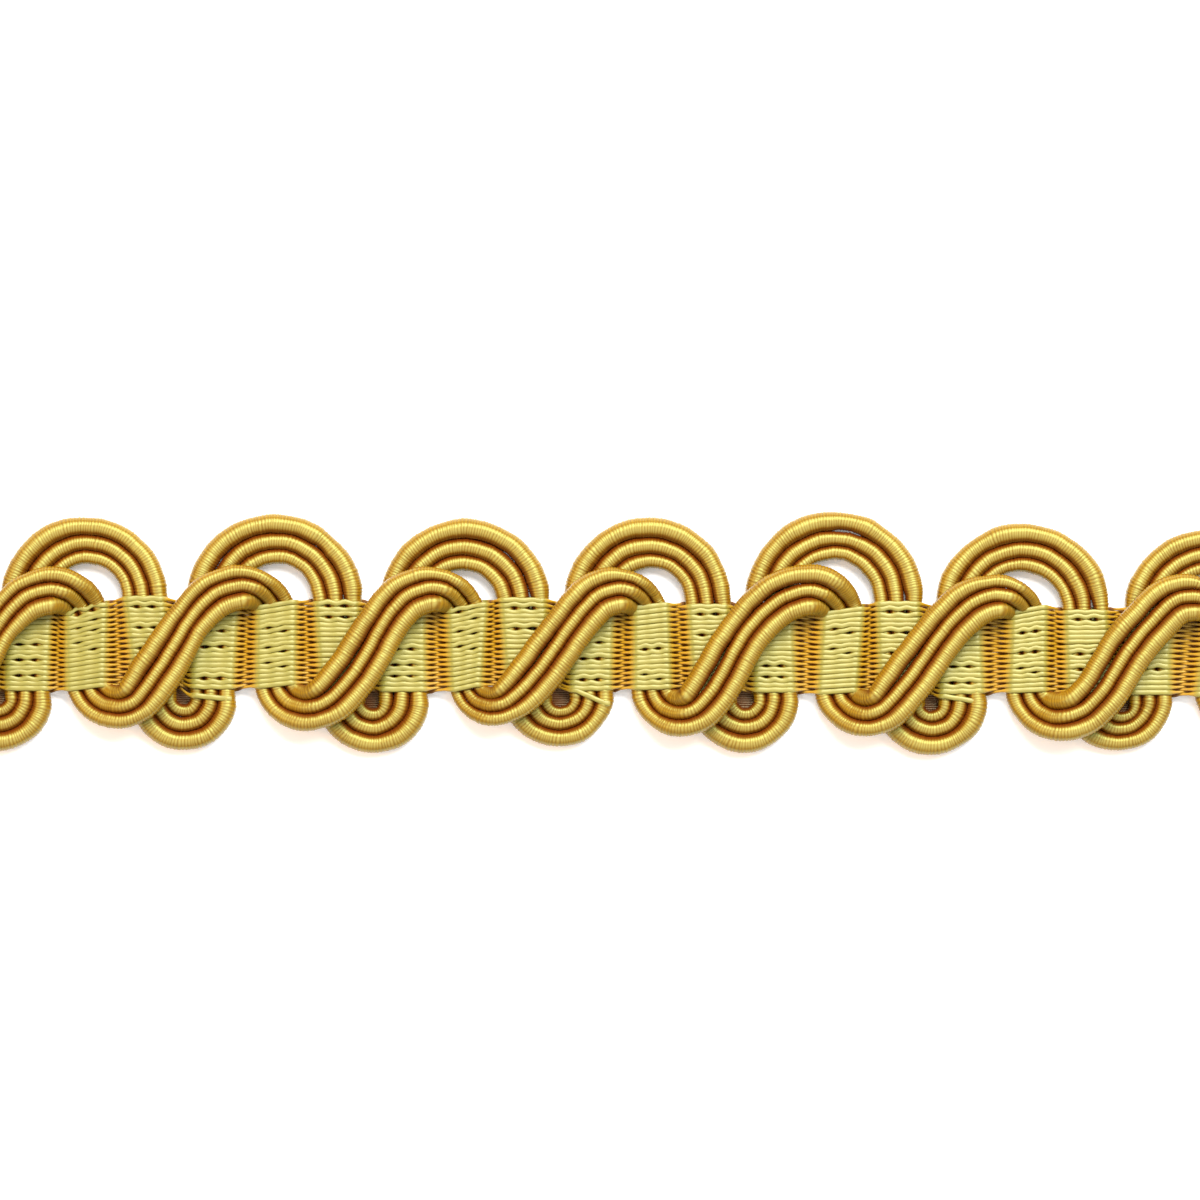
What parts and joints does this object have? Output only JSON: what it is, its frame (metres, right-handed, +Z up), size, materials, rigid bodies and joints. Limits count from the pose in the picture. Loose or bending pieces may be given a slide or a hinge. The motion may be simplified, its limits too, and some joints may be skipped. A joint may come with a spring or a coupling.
{
  "type": "gimp braid trim",
  "caption": "Cut length of scroll gimp braid: satin cords looping in open arches through a narrow band of fine warp threads, crossing it on a slant.",
  "frame": {"origin": "middle of the flat back of the woven band", "axes": "+X along the trim, +Y across it towards the large back arches, +Z up out of its face"},
  "size_m": [0.1426, 0.0254, 0.0041],
  "materials": {
    "warp_thread": "satin",
    "scroll_cord": "satin"
  },
  "bodies": {
    "root": {"woven_band": "warp_thread", "back_cord_outer": "scroll_cord", "back_cord_middle": "scroll_cord", "back_cord_inner": "scroll_cord", "front_cord_outer": "scroll_cord", "front_cord_middle": "scroll_cord", "front_cord_inner": "scroll_cord"}
  },
  "joints": []
}
